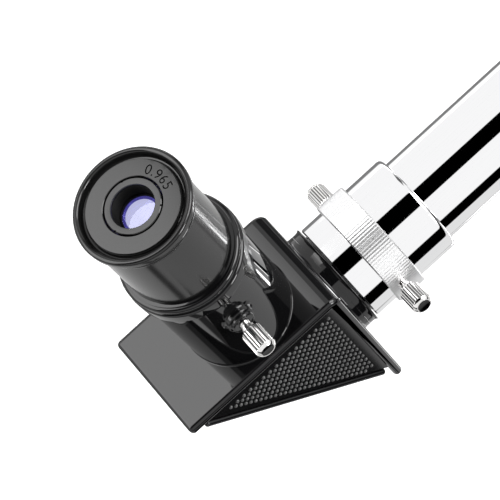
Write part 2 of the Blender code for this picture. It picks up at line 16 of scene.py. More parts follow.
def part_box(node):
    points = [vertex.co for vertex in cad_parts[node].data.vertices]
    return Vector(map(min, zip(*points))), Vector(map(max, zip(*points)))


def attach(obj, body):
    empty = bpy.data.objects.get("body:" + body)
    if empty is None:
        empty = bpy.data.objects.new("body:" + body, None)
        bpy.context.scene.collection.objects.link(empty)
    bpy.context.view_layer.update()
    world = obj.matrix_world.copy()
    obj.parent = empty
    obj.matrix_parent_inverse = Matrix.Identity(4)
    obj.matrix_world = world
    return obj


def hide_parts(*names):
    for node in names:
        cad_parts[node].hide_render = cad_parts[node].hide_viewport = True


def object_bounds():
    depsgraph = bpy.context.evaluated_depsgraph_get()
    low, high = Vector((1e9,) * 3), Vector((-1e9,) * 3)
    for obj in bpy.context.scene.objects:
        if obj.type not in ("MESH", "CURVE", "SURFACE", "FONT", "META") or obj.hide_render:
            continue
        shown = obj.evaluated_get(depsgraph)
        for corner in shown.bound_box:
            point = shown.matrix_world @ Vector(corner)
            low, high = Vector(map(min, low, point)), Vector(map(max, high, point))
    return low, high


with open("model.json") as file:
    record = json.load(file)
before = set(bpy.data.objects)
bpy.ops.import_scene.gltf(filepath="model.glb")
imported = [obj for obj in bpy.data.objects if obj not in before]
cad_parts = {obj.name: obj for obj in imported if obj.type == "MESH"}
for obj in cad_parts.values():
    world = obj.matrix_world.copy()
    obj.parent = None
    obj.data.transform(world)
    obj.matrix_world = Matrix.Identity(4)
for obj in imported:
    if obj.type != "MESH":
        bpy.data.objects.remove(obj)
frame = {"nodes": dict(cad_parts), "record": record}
cad_low, cad_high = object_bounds()

MM = 0.001
AXIS_X = Vector((1, 0, 0))
AXIS_Y = Vector((0, 1, 0))
AXIS_Z = Vector((0, 0, 1))
ROUND = 144  # steps in a large turned part
MEDIUM = 72
TINY = 32

# The centre of the mirror is where the eyepiece's axis meets the drawtube's.
eyepiece_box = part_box("eyepiece_body")
tube_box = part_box("drawtube")
MIRROR = Vector(
    (
        (eyepiece_box[0].x + eyepiece_box[1].x) / 2,
        (tube_box[0].y + tube_box[1].y) / 2,
        (tube_box[0].z + tube_box[1].z) / 2,
    )
)


def span(node):
    """A CAD node's lowest and highest corners, in mm from the mirror's centre."""
    low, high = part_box(node)
    return (low - MIRROR) / MM, (high - MIRROR) / MM


# ---------------------------------------------------------------- camera

CAMERA_PLACE = Vector((16.5, -309.1, 576.6))  # mm from the mirror's centre
CAMERA_AZIMUTH = 0.76
CAMERA_ELEVATION = 60.11
CAMERA_ROLL = -43.0
CAMERA_LENS = 187.5


def make_camera():
    turn, rise, roll = map(radians, (CAMERA_AZIMUTH, CAMERA_ELEVATION, CAMERA_ROLL))
    back = Vector((sin(turn) * cos(rise), -cos(turn) * cos(rise), sin(rise)))
    level = Vector((cos(turn), sin(turn), 0))
    right = cos(roll) * level + sin(roll) * back.cross(level)
    up = back.cross(right)
    camera = bpy.data.objects.new("camera", bpy.data.cameras.new("camera"))
    camera.data.lens = CAMERA_LENS
    camera.data.sensor_width = 36
    camera.data.clip_end = 100
    bpy.context.scene.collection.objects.link(camera)
    place = Matrix((right, up, back)).transposed().to_4x4()
    place.translation = MIRROR + CAMERA_PLACE * MM
    camera.matrix_world = place
    bpy.context.scene.camera = camera


# ---------------------------------------------------------------- mesh helpers


def arc(centre, radius, start, end, count=5):
    """Outline points on an arc. Angles are in degrees, 0 outwards and 90 up."""
    height, out = centre
    points = []
    for step in range(count + 1):
        angle = radians(start + (end - start) * step / count)
        points.append((height + radius * sin(angle), out + radius * cos(angle)))
    return points


def curved(points, count=4):
    """Fill in a smooth curve through outline points."""
    ends = [points[0], *points, points[-1]]
    filled = []
    for before, start, end, after in zip(ends, ends[1:], ends[2:], ends[3:]):
        for step in range(count):
            t = step / count
            weights = (
                (-t + 2 * t**2 - t**3) / 2,
                (2 - 5 * t**2 + 3 * t**3) / 2,
                (t + 4 * t**2 - 3 * t**3) / 2,
                (-(t**2) + t**3) / 2,
            )
            near = (before, start, end, after)
            filled.append(tuple(sum(w * p[k] for w, p in zip(weights, near)) for k in (0, 1)))
    return [*filled, points[-1]]


def spun(outline, steps=ROUND):
    """Spin an outline of (height, radius) points round Z into a closed shape."""
    shape = bmesh.new()
    verts = [shape.verts.new((radius, 0, height)) for height, radius in outline]
    solid = outline[0][1] == 0 and outline[-1][1] == 0
    ends = verts[1:] if solid else verts[1:] + verts[:1]
    edges = [shape.edges.new(pair) for pair in zip(verts, ends)]
    bmesh.ops.spin(
        shape,
        geom=verts + edges,
        axis=(0, 0, 1),
        cent=(0, 0, 0),
        angle=tau,
        steps=steps,
        use_merge=True,
    )
    bmesh.ops.remove_doubles(shape, verts=shape.verts, dist=0.0005)
    bmesh.ops.recalc_face_normals(shape, faces=shape.faces)
    return shape


def soften(shape, width, segments=2, sharper=32):
    """Round every edge that bends by more than an angle, in degrees."""
    edges = []
    for edge in shape.edges:
        if len(edge.link_faces) == 2 and edge.calc_face_angle() > radians(sharper):
            edges.append(edge)
    bmesh.ops.bevel(
        shape,
        geom=edges,
        offset=width,
        offset_type="OFFSET",
        segments=segments,
        profile=0.5,
        affect="EDGES",
        material=-1,
        clamp_overlap=True,
    )
    return shape


def fluted(shape, radius, count, depth, sharpness):
    """Draw the outermost points of a turned shape inwards in waves round Z."""
    for vert in shape.verts:
        around = vert.co.xy
        if around.length > radius - 0.01:
            wave = 0.5 - 0.5 * cos(Vector((1, 0)).angle_signed(around) * count)
            share = 1 - depth * wave**sharpness / radius
            vert.co.x *= share
            vert.co.y *= share
    return shape


def slab(low, high):
    """A box between two corners."""
    shape = bmesh.new()
    low, high = Vector(low), Vector(high)
    bmesh.ops.create_cube(shape, size=1)
    bmesh.ops.scale(shape, vec=high - low, verts=shape.verts)
    bmesh.ops.translate(shape, vec=(low + high) / 2, verts=shape.verts)
    return shape


def extruded(outline, low, high):
    """An outline of (x, z) points drawn out along Y between low and high."""
    shape = bmesh.new()
    face = shape.faces.new([shape.verts.new((x, low, z)) for x, z in outline])
    swept = bmesh.ops.extrude_face_region(shape, geom=[face])["geom"]
    moved = [part for part in swept if isinstance(part, bmesh.types.BMVert)]
    bmesh.ops.translate(shape, vec=(0, high - low, 0), verts=moved)
    bmesh.ops.recalc_face_normals(shape, faces=shape.faces)
    return shape


def lay(shape, axis, centre=(0, 0, 0), twist=0.0):
    """Turn a shape's Z to an axis and move its origin to a place in mm."""
    turn = Vector(axis).to_track_quat("Z", "Y").to_matrix().to_4x4()
    turn = Matrix.Translation(Vector(centre)) @ turn @ Matrix.Rotation(radians(twist), 4, "Z")
    bmesh.ops.transform(shape, matrix=turn, verts=shape.verts)
    return shape


def loose_object(shape, look=None):
    """A shape as an object to work on, which is removed before the script ends."""
    mesh = bpy.data.meshes.new("working")
    shape.to_mesh(mesh)
    shape.free()
    if look is not None:
        mesh.materials.append(look)
    made = bpy.data.objects.new("working", mesh)
    bpy.context.scene.collection.objects.link(made)
    return made


def settled(whole, helpers):
    """Read back a changed working object as a shape, and clear the working objects."""
    result = bmesh.new()
    result.from_object(whole, bpy.context.evaluated_depsgraph_get())
    for made in (whole, *helpers):
        mesh = made.data
        bpy.data.objects.remove(made)
        bpy.data.meshes.remove(mesh)
    return result


def combined(shape, others, operation="DIFFERENCE"):
    """Cut or join closed shapes exactly, and give back one shape."""
    whole = loose_object(shape)
    helpers = [loose_object(other) for other in others]
    for helper in helpers:
        change = whole.modifiers.new("change", "BOOLEAN")
        change.operation = operation
        change.object = helper
    return settled(whole, helpers)


def paint(shape, number, wanted):
    """Give the faces whose middle and normal pass a test another of the piece's materials."""
    shape.normal_update()
    for face in shape.faces:
        if wanted(face.calc_center_median(), face.normal):
            face.material_index = number
    return shape


def piece(name, shape, look, body, slot, replaces=(), sharp=32, more=()):
    """Finish a shape as an object at the origin that rides on a CAD body."""
    bmesh.ops.scale(shape, vec=(MM, MM, MM), verts=shape.verts)
    bmesh.ops.translate(shape, vec=MIRROR, verts=shape.verts)
    mesh = bpy.data.meshes.new(name)
    shape.to_mesh(mesh)
    shape.free()
    mesh.shade_smooth()
    mesh.set_sharp_from_angle(angle=radians(sharp))
    for finish in (look, *more):
        mesh.materials.append(finish)
    made = bpy.data.objects.new(name, mesh)
    bpy.context.scene.collection.objects.link(made)
    even = made.modifiers.new("even_normals", "WEIGHTED_NORMAL")
    even.keep_sharp = True
    even.weight = 80
    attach(made, body)
    if replaces:
        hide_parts(*replaces)
    return made


# ---------------------------------------------------------------- material helpers


def new_group(name, inputs, outputs):
    """A shader node group with (name, socket type, default) inputs and (name, type) outputs."""
    group = bpy.data.node_groups.new(name, "ShaderNodeTree")
    for label, kind, default in inputs:
        socket = group.interface.new_socket(label, in_out="INPUT", socket_type=kind)
        socket.default_value = default
    for label, kind in outputs:
        group.interface.new_socket(label, in_out="OUTPUT", socket_type=kind)
    return group, group.nodes.new("NodeGroupInput"), group.nodes.new("NodeGroupOutput")


def add(tree, kind, **settings):
    """A node, with its properties or its input values set by name."""
    node = tree.nodes.new(kind)
    for key, value in settings.items():
        if hasattr(node, key):
            setattr(node, key, value)
        else:
            node.inputs[key.replace("_", " ")].default_value = value
    return node


def maths(tree, operation, first, second=0.0, clamp=False):
    """A Math node; each operand is a number or a socket."""
    node = tree.nodes.new("ShaderNodeMath")
    node.operation = operation
    node.use_clamp = clamp
    for slot, value in zip(node.inputs, (first, second)):
        if isinstance(value, (int, float)):
            slot.default_value = value
        else:
            tree.links.new(value, slot)
    return node.outputs[0]


def speckle_group():
    """Fine moulding grain and faint wiping marks: a mask, and a height for bump."""
    group, into, out = new_group(
        "surface_marks",
        [
            ("Vector", "NodeSocketVector", (0, 0, 0)),
            ("Grain Scale", "NodeSocketFloat", 2500.0),
            ("Mark Scale", "NodeSocketFloat", 120.0),
            ("Marks", "NodeSocketFloat", 0.5),
        ],
        [("Mask", "NodeSocketFloat"), ("Height", "NodeSocketFloat")],
    )
    grain = add(group, "ShaderNodeTexNoise", Detail=3.0, Roughness=0.6)
    marks = add(group, "ShaderNodeTexNoise", Detail=6.0, Roughness=0.65, Distortion=0.6)
    for node, scale in ((grain, "Grain Scale"), (marks, "Mark Scale")):
        group.links.new(into.outputs["Vector"], node.inputs["Vector"])
        group.links.new(into.outputs[scale], node.inputs["Scale"])
    shaped = maths(group, "MULTIPLY", marks.outputs[0], into.outputs["Marks"])
    mask = maths(group, "ADD", shaped, maths(group, "MULTIPLY", grain.outputs[0], 0.3), clamp=True)
    group.links.new(mask, out.inputs["Mask"])
    group.links.new(grain.outputs[0], out.inputs["Height"])
    return group


def scratch_group():
    """Hair-fine polishing lines along one axis of a piece."""
    group, into, out = new_group(
        "polishing_lines",
        [
            ("Vector", "NodeSocketVector", (0, 0, 0)),
            ("Stretch", "NodeSocketVector", (30.0, 1500.0, 1500.0)),
        ],
        [("Mask", "NodeSocketFloat")],
    )
    scaled = add(group, "ShaderNodeVectorMath", operation="MULTIPLY")
    group.links.new(into.outputs["Vector"], scaled.inputs[0])
    group.links.new(into.outputs["Stretch"], scaled.inputs[1])
    noise = add(group, "ShaderNodeTexNoise", Scale=1.0, Detail=4.0, Roughness=0.7)
    group.links.new(scaled.outputs[0], noise.inputs["Vector"])
    group.links.new(noise.outputs[0], out.inputs["Mask"])
    return group


MARKS = speckle_group()
LINES = scratch_group()


def shader(name, colour, metallic=0.0, **values):
    """A material with a Principled shader and object coordinates to build on."""
    look = bpy.data.materials.new(name)
    look.use_nodes = True
    tree = look.node_tree
    principled = tree.nodes["Principled BSDF"]
    principled.inputs["Base Color"].default_value = (*colour, 1)
    principled.inputs["Metallic"].default_value = metallic
    for key, value in values.items():
        principled.inputs[key.replace("_", " ")].default_value = value
    place = tree.nodes.new("ShaderNodeTexCoord").outputs["Object"]
    return look, tree, principled, place


def ranged(tree, value, low, high):
    """Map a 0 to 1 value to a range."""
    node = tree.nodes.new("ShaderNodeMapRange")
    node.inputs["To Min"].default_value = low
    node.inputs["To Max"].default_value = high
    tree.links.new(value, node.inputs["Value"])
    return node.outputs[0]


def mixed(tree, factor, first, second):
    """Mix two colours by a mask."""
    node = tree.nodes.new("ShaderNodeMix")
    node.data_type = "RGBA"
    tree.links.new(factor, node.inputs["Factor"])
    node.inputs["A"].default_value = (*first, 1)
    node.inputs["B"].default_value = (*second, 1)
    return node.outputs["Result"]


def bumped(tree, principled, height, distance, strength=1.0):
    bump = tree.nodes.new("ShaderNodeBump")
    bump.inputs["Distance"].default_value = distance
    bump.inputs["Strength"].default_value = strength
    tree.links.new(height, bump.inputs["Height"])
    tree.links.new(bump.outputs[0], principled.inputs["Normal"])


def marked(name, colour, pale, rough, grain, marks, bump, metallic=0.0, **values):
    """A finish whose colour and gloss vary with grain and wiping marks."""
    look, tree, principled, place = shader(name, colour, metallic, **values)
    group = tree.nodes.new("ShaderNodeGroup")
    group.node_tree = MARKS
    group.inputs["Grain Scale"].default_value = grain
    group.inputs["Mark Scale"].default_value = marks
    tree.links.new(place, group.inputs["Vector"])
    mask = group.outputs["Mask"]
    tree.links.new(mixed(tree, mask, colour, pale), principled.inputs["Base Color"])
    tree.links.new(ranged(tree, mask, *rough), principled.inputs["Roughness"])
    if bump:
        bumped(tree, principled, group.outputs["Height"], bump)
    return look


def polished(name, colour, pale, rough, stretch, metallic=1.0, **values):
    """A plated or turned metal finish with fine lines along or round a part."""
    look, tree, principled, place = shader(name, colour, metallic, **values)
    group = tree.nodes.new("ShaderNodeGroup")
    group.node_tree = LINES
    group.inputs["Stretch"].default_value = stretch
    tree.links.new(place, group.inputs["Vector"])
    mask = group.outputs["Mask"]
    tree.links.new(mixed(tree, mask, colour, pale), principled.inputs["Base Color"])
    tree.links.new(ranged(tree, mask, *rough), principled.inputs["Roughness"])
    return look



def all_three(value):
    """One value for all the channels of a grey, or for all the axes of a scale."""
    return (value, value, value)


# Plastics and paints: name, colour, paler colour in the marks, roughness range, scale of the
# grain, scale of the wiping marks, and depth of the grain in metres.
BLACK = (0.003, 0.003, 0.0033)
GLOSS_BLACK = marked("gloss_black", BLACK, (0.005, 0.005, 0.0055), (0.02, 0.06), 900, 60, 0)
EYEPIECE_BLACK = marked(
    "eyepiece_black", all_three(0.0045), all_three(0.007), (0.1, 0.17), 3000, 150, 0
)
SIDE_BLACK = marked("side_black", BLACK, (0.006, 0.006, 0.0065), (0.08, 0.2), 1800, 120, 0)
GRIP_BLACK = marked(
    "side_grip_black",
    all_three(0.05),
    all_three(0.09),
    (0.18, 0.3),
    2500,
    200,
    0,
    Specular_IOR_Level=0.8,
)
SATIN_BLACK = marked(
    "satin_black", (0.012, 0.012, 0.0125), (0.024, 0.024, 0.025), (0.32, 0.5), 5000, 130, 0.00002
)
RUBBED_BLACK = marked(
    "knob_black", all_three(0.014), all_three(0.03), (0.4, 0.6), 4000, 200, 0.00003
)
MATT_BLACK = marked(
    "matt_black", all_three(0.006), all_three(0.012), (0.75, 0.95), 6000, 300, 0.00003
)
INK_BLACK = marked(
    "ink_black",
    all_three(0.003),
    all_three(0.006),
    (0.5, 0.7),
    3000,
    200,
    0,
    Specular_IOR_Level=0.12,
)
WHITE = marked(
    "white_enamel", (0.74, 0.75, 0.76), (0.68, 0.69, 0.7), (0.12, 0.24), 1500, 90, 0.00001, Coat_Weight=0.5
)
NYLON = marked("natural_nylon", (0.62, 0.6, 0.54), (0.54, 0.52, 0.46), (0.38, 0.55), 2500, 120, 0.00001)
FOAM = marked("foam_rubber", (0.02, 0.02, 0.021), all_three(0.05), (0.85, 1.0), 2200, 500, 0.0001)

# Metals: name, colour, paler colour in the lines, roughness range, and scale along each axis.
CHROME = polished("chrome", (0.95, 0.95, 0.955), (0.9, 0.9, 0.91), (0.015, 0.06), (40, 2500, 2500))
KNURLED = polished("knurled_chrome", all_three(0.9), (0.84, 0.84, 0.85), (0.3, 0.4), all_three(900))
SCREW_CHROME = polished(
    "screw_chrome", (0.9, 0.89, 0.88), (0.78, 0.77, 0.76), (0.05, 0.16), all_three(1500)
)
# Painted shade: a near-black metal for the dished end of a thumbscrew's head, standing in for the shade in
# the dish.
END_SHADE_METAL = polished("screw_end_painted_shade", all_three(0.05), all_three(0.03), (0.05, 0.15), all_three(900))
# Painted shade: a dark metal for the faces down in a thumbscrew's flutes, standing in for the shade there.
FLUTE_SHADE_METAL = polished("flute_painted_shade", all_three(0.3), all_three(0.2), (0.3, 0.5), all_three(1500))
STEEL = polished("screw_steel", (0.6, 0.6, 0.62), (0.42, 0.42, 0.44), (0.22, 0.4), all_three(1200))
BRASS = polished("turned_brass", (0.72, 0.52, 0.22), (0.55, 0.38, 0.15), (0.2, 0.38), all_three(900))
MIRROR_COAT = polished("mirror_coating", (0.93, 0.94, 0.95), (0.9, 0.91, 0.93), (0.0, 0.02), all_three(200))


GLASS_VIOLET = (0.62, 0.62, 0.98)


def coated_glass(name, tint, glow, strength):
    """Lens glass under a coloured coating. Its glow stands in for light from inside the tube."""
    look, tree, principled, place = shader(
        name, GLASS_VIOLET, Transmission_Weight=1.0, IOR=1.6, Specular_IOR_Level=0.5
    )
    principled.inputs["Specular Tint"].default_value = (*tint, 1)
    group = tree.nodes.new("ShaderNodeGroup")
    group.node_tree = MARKS
    group.inputs["Mark Scale"].default_value = 80
    tree.links.new(place, group.inputs["Vector"])
    mask = group.outputs["Mask"]
    deeper = tuple(0.85 * part for part in glow)
    tree.links.new(mixed(tree, mask, deeper, glow), principled.inputs["Emission Color"])
    principled.inputs["Emission Strength"].default_value = strength
    tree.links.new(ranged(tree, mask, 0.0, 0.02), principled.inputs["Roughness"])
    return look


EYE_GLASS = coated_glass("eye_lens_glass", (0.9, 0.92, 1.0), (0.5, 0.51, 0.66), 1.0)
EDGE_GLASS = coated_glass("eye_lens_edge", (0.3, 0.3, 0.6), (0.1, 0.085, 0.4), 0.3)
FRONT_GLASS = coated_glass("objective_glass", (0.7, 0.75, 1.0), (0.08, 0.07, 0.3), 0.05)

# ---------------------------------------------------------------- eyepiece


def lettering(text, middle, radius, height):
    """A line of digits made solid and bent round a ring, with their tops outwards."""
    curve = bpy.data.curves.new("digits", "FONT")
    curve.body = text
    curve.size = height * 1.38
    curve.space_character = 1.12
    curve.align_x = "CENTER"
    curve.extrude = 0.3
    made = bpy.data.objects.new("digits", curve)
    bpy.context.scene.collection.objects.link(made)
    graph = bpy.context.evaluated_depsgraph_get()
    mesh = bpy.data.meshes.new_from_object(made.evaluated_get(graph))
    shape = bmesh.new()
    shape.from_mesh(mesh)
    bpy.data.objects.remove(made)
    bpy.data.curves.remove(curve)
    bpy.data.meshes.remove(mesh)
    bmesh.ops.remove_doubles(shape, verts=shape.verts, dist=0.0005)
    for vert in shape.verts:
        along, out, depth = vert.co
        angle = radians(middle) - along / radius
        reach = radius - height / 2 + out
        vert.co = (reach * cos(angle), reach * sin(angle), depth)
    bmesh.ops.recalc_face_normals(shape, faces=shape.faces)
    return shape


def engraved(shape, look, cutter, cut_look):
    """Cut a shape away and leave another material on the cut faces."""
    whole, tool = loose_object(shape, look), loose_object(cutter, cut_look)
    change = whole.modifiers.new("engraving", "BOOLEAN")
    change.object = tool
    change.material_mode = "TRANSFER"
    return settled(whole, [tool])


def make_eyepiece():
    low, high = span("eyepiece_body")
    top, bottom, lip_r = high.z, low.z, high.x
    ring_low, ring_high = span("eye_lens_retainer")
    face, ring_r = ring_high.z, ring_high.x
    crest, wall_r, face_r, bore_r = 0.78, 13.33, 11.35, 11.1
    shelf_low, shelf_high, light_r = 76.2, 79.6, 5.7
    middle_r = lip_r - crest
    flare = [
        (top - 1.9, lip_r - 0.04),
        (top - 2.6, lip_r - 0.35),
        (top - 3.3, lip_r - 1.3),
        (top - 4.0, wall_r + 0.25),
        (top - 5.0, wall_r),
    ]
    groove = [(face - 1.3, 12.0), (face - 1.2, 12.4), (face - 0.6, middle_r - crest + 0.05)]
    shell = [
        *arc((top - crest, middle_r), crest, 175, 0, 12),
        *curved(flare),
        (bottom + 0.5, wall_r + 0.17),
        (bottom, wall_r - 0.33),
        (bottom, bore_r),
        (shelf_low, bore_r),
        (shelf_low, light_r),
        (shelf_high, light_r),
        (shelf_high, ring_r + 0.3),
        (face - 0.12, ring_r + 0.3),
        (face, ring_r + 0.42),
        (face, face_r),
        *arc((face - 0.15, face_r), 0.15, 60, 10, 2),
        (face - 1.1, face_r + 0.35),
        *curved(groove, 3),
    ]
    cut_at, shown_at = 90, 7  # degrees round the face: where the digits are cut, then turned to
    digits_r, digits_high = 9.2, 2.5
    text = lettering("0.965", cut_at, digits_r, digits_high)
    bmesh.ops.translate(text, vec=(0, 0, face), verts=text.verts)
    shape = engraved(spun(shell), EYEPIECE_BLACK, text, INK_BLACK)
    turn = Matrix.Rotation(radians(shown_at - cut_at), 4, "Z")
    bmesh.ops.transform(shape, matrix=turn, verts=shape.verts)
    finish = (EYEPIECE_BLACK, "eyepiece", "satin_black_plastic")
    piece("eyepiece_shell", shape, *finish, ["eyepiece_body"], more=[INK_BLACK])
    make_eye_lens(face, ring_low.z, ring_r)

    low, high = span("eyepiece_barrel")
    neck_r, wide_r, narrow_r, stop_r = 10.9, 10.1, 9.7, 9.0
    stop_low, stop_high = 56.0, 57.0
    barrel = [
        (high.z, neck_r),
        (bottom - 0.2, neck_r),
        (bottom - 0.2, high.x - 0.1),
        (bottom - 0.3, high.x),
        (low.z + 0.6, high.x),
        (low.z, high.x - 0.5),
        (low.z, wide_r),
        (stop_low, wide_r),
        (stop_low, stop_r),
        (stop_high, stop_r),
        (stop_high, narrow_r),
        (high.z, narrow_r),
    ]
    shape = spun(barrel)
    piece("eyepiece_chrome_barrel", shape, CHROME, "eyepiece", "chrome", ["eyepiece_barrel"])


def make_eye_lens(face, ring_bottom, ring_r):
    """The eye lens, sunk in a threaded locking ring with three small notches."""
    hole_r, seat_r = 5.3, 4.62
    threads = []
    for turn in range(7):
        height = face - 0.75 - turn * 0.62
        threads += [(height, hole_r - 0.02), (height - 0.3, hole_r - 0.26)]
    ring = [
        (ring_bottom, seat_r),
        (ring_bottom + 0.55, seat_r),
        (ring_bottom + 0.7, seat_r + 0.15),
        *reversed(threads),
        (face - 0.3, hole_r),
        *arc((face - 0.16, hole_r + 0.16), 0.16, 190, 90, 3),
        (face, ring_r - 0.22),
        (face - 0.14, ring_r - 0.06),
        (ring_bottom, ring_r - 0.06),
    ]
    notches = []
    notch_r, notch_out = 0.24, 6.82
    drill = [(face + 1, 0), (face + 1, notch_r), (face - 0.5, notch_r), (face - 0.5, 0)]
    for angle in (75, 195, 315):
        turn = radians(angle)
        centre = (notch_out * cos(turn), notch_out * sin(turn), 0)
        notches.append(lay(spun(drill, 12), AXIS_Z, centre))
    shape = combined(spun(ring, 96), notches)
    paint(shape, 1, lambda place, normal: place.xy.length < hole_r - 0.01)
    finish = (EYEPIECE_BLACK, "eyepiece", "satin_black_plastic")
    piece("eye_lens_locking_ring", shape, *finish, ["eye_lens_retainer"], more=[INK_BLACK])
    low, high = span("eye_lens")
    top, edge_r, flat_r = high.z, high.x, 4.0
    below = [(low.z + 1.3 - 1.3 * cos(radians(a)), 6.6 * sin(radians(a))) for a in (70, 50, 30, 15)]
    lens = [
        (top, 0),
        (top, flat_r),
        (top - 0.5, 4.8),
        (top - 0.9, edge_r - 0.3),
        (top - 1.1, edge_r),
        (low.z + 1.4, edge_r),
        *below,
        (low.z, 0),
    ]
    shape = paint(spun(lens, MEDIUM), 1, lambda place, normal: normal.z < 0.995)
    finish = (EYE_GLASS, "eyepiece", "coated_glass")
    piece("eye_lens_glass", shape, *finish, ["eye_lens"], sharp=12, more=[EDGE_GLASS])


# ---------------------------------------------------------------- diagonal

BACK_ANGLE = radians(47.8)  # the wedge's back is a little steeper than the mirror
BACK_NORMAL = Vector((sin(BACK_ANGLE), 0, cos(BACK_ANGLE)))
BACK_ALONG = Vector((cos(BACK_ANGLE), 0, -sin(BACK_ANGLE)))
BACK_TURN = Matrix((BACK_ALONG, AXIS_Y, BACK_NORMAL)).transposed().to_4x4()
SCREW_Z = 44.5
PLATE_TOP, PLATE_FRONT = 21.55, 20.5
INNER_TOP, INNER_FRONT = 18.35, 17.8
WEDGE_HALF, WEDGE_BACK = 15.3, -5.3


def diagonal_piece(name, shape, replaces=(), look=GLOSS_BLACK, sharp=32):
    piece(name, shape, look, "diagonal", "gloss_black_plastic", replaces, sharp)


def stud_mesh(radius, height):
    """One round domed stud, a few dozen faces, with its foot just under z = 0."""
    rise = [(height * cos(radians(a)), radius * sin(radians(a))) for a in (0, 30, 60, 90)]
    shape = spun([*rise, (-0.15, radius), (-0.15, 0)], 8)
    mesh = bpy.data.meshes.new("stud")
    shape.to_mesh(mesh)
    shape.free()
    return mesh


def grip_studs(side):
    """Staggered rows of studs that fill the wedge's side inside a smooth border."""
    step_x, step_z = 1.07, 1.25
    border_front, border_top, border_back = 2.6, 3.4, 1.5
    right, top = INNER_FRONT - border_front, INNER_TOP - border_top
    stud = stud_mesh(0.54, 0.38)
    field = bmesh.new()
    for column in range(40):
        for row in range(40):
            x, z = right - column * step_x, top - row * step_z
            depth = x * BACK_NORMAL.x + z * BACK_NORMAL.z
            if (column + row) % 2 or depth < WEDGE_BACK + border_back:
                continue
            before = len(field.verts)
            field.from_mesh(stud)
            fresh = list(field.verts)[before:]
            upright = Matrix.Rotation(radians(-90 * side), 4, "X")
            place = Matrix.Translation((x, side * (WEDGE_HALF + 0.05), z)) @ upright
            bmesh.ops.transform(field, matrix=place, verts=fresh)
    bpy.data.meshes.remove(stud)
    return field


def make_housing():
    low, high = span("diagonal_housing")
    half, corner_r, foot_r = high.y, 3.5, 1.25
    corner = arc((PLATE_TOP - corner_r, PLATE_FRONT - corner_r), corner_r, 90, 0, 8)
    foot = arc((low.z + foot_r, PLATE_FRONT - foot_r), foot_r, 0, -180, 8)
    end = arc((PLATE_TOP - 1.3, low.x + 1.3), 1.3, 180, 90, 4)
    outline = [(low.x, INNER_TOP), *((x, z) for z, x in (*end, *corner, *foot))]
    outline += [(INNER_FRONT, INNER_TOP)]
    plates = soften(extruded(outline, -half, half), 1.25, 5, 60)
    diagonal_piece("housing_plates", plates, ["diagonal_housing"])
    front, top = INNER_FRONT + 0.5, INNER_TOP + 0.5
    back = [
        ((WEDGE_BACK - top * BACK_NORMAL.z) / BACK_NORMAL.x, top),
        (front, (WEDGE_BACK - front * BACK_NORMAL.x) / BACK_NORMAL.z),
    ]
    wedge = soften(extruded([(front, top), *back], -WEDGE_HALF, WEDGE_HALF), 0.4, 3)
    diagonal_piece("housing_wedge", wedge, look=SIDE_BLACK)
    for name, side in (("near", -1), ("far", 1)):
        diagonal_piece(f"side_grip_{name}", grip_studs(side), look=GRIP_BLACK, sharp=60)


def make_socket():
    low, high = span("diagonal_housing")
    wall_r, bore_r, top, fillet = 14.35, 12.35, high.z, 0.35
    socket = [
        (top - 0.3, bore_r),
        (top, bore_r + 0.3),
        *arc((top - 1.3, 14.2), 1.0, 110, -50, 9),
        (top - 2.45, 14.82),
        *arc((top - 3.6, 14.55), 0.85, 70, 10, 4),
        *arc((top - 5.9, 14.55), 0.85, -10, -60, 4),
        *curved([(top - 6.9, 14.75), (top - 7.4, 14.45), (top - 8.4, wall_r)], 3),
        (PLATE_TOP + fillet, wall_r),
        *arc((PLATE_TOP + fillet, wall_r + fillet), -fillet, 15, 85, 4),
        (PLATE_TOP - 0.4, wall_r + fillet),
        (PLATE_TOP - 0.4, bore_r),
    ]
    diagonal_piece("housing_socket", spun(socket))
    boss = [
        (16.9, 1.5),
        (16.9, 2.5),
        *arc((16.4, 2.55), 0.5, 80, 0, 4),
        (15.9, 3.05),
        *arc((15.5, 3.3), 0.35, 70, 0, 3),
        *arc((14.9, 4.75), -1.1, 0, 70, 4),
        (12.9, 4.4),
        (12.9, 1.5),
    ]
    shape = lay(spun(boss, MEDIUM), -AXIS_Y, (0, 0, SCREW_Z))
    diagonal_piece("housing_screw_boss", shape)


def make_nose():
    low, high = span("nose_barrel")
    flange_r, boss_r, step_r, hole_r = 15.0, 14.6, 15.1, 12.4
    seam, flange_end, barrel_r, inner_r = 22.1, 24.5, 12.25, 10.9
    boss = [
        (seam, hole_r),
        (seam, boss_r),
        (PLATE_FRONT + 0.5, boss_r),
        *arc((PLATE_FRONT + 0.5, step_r), -0.5, 0, 80, 4),
        (PLATE_FRONT - 0.5, step_r),
        (PLATE_FRONT - 0.5, hole_r),
    ]
    shape = lay(spun(boss), AXIS_X)
    diagonal_piece("housing_nose_boss", shape)
    nose = [
        (high.x, 11.4),
        (high.x - 0.8, barrel_r),
        (flange_end, barrel_r),
        (flange_end, 14.7),
        *arc((flange_end - 0.25, flange_r - 0.25), 0.25, 60, -60, 4),
        *curved([(23.9, 14.75), (23.5, 14.62), (23.0, 14.58)], 3),
        (seam + 0.05, 14.58),
        (seam + 0.05, 11.9),
        (low.x, 11.9),
        (low.x, inner_r),
        (high.x, inner_r),
    ]
    shape = lay(spun(nose), AXIS_X)
    slot = "satin_black_plastic"
    piece("nose_barrel_flange", shape, GLOSS_BLACK, "diagonal", slot, ["nose_barrel"])


def make_diagonal():
    make_housing()
    make_socket()
    make_nose()
    cover_front, cover_back, cover_half = -5.5, -7.2, 16.0
    cover_high, cover_low = -29.0, 31.8  # along the back's slope
    cover = slab((cover_high, -cover_half, cover_back), (cover_low, cover_half, cover_front))
    soften(cover, 0.8, 4)
    bmesh.ops.transform(cover, matrix=BACK_TURN, verts=cover.verts)
    diagonal_piece("back_cover_plate", cover, ["back_cover"])


# ---------------------------------------------------------------- screws


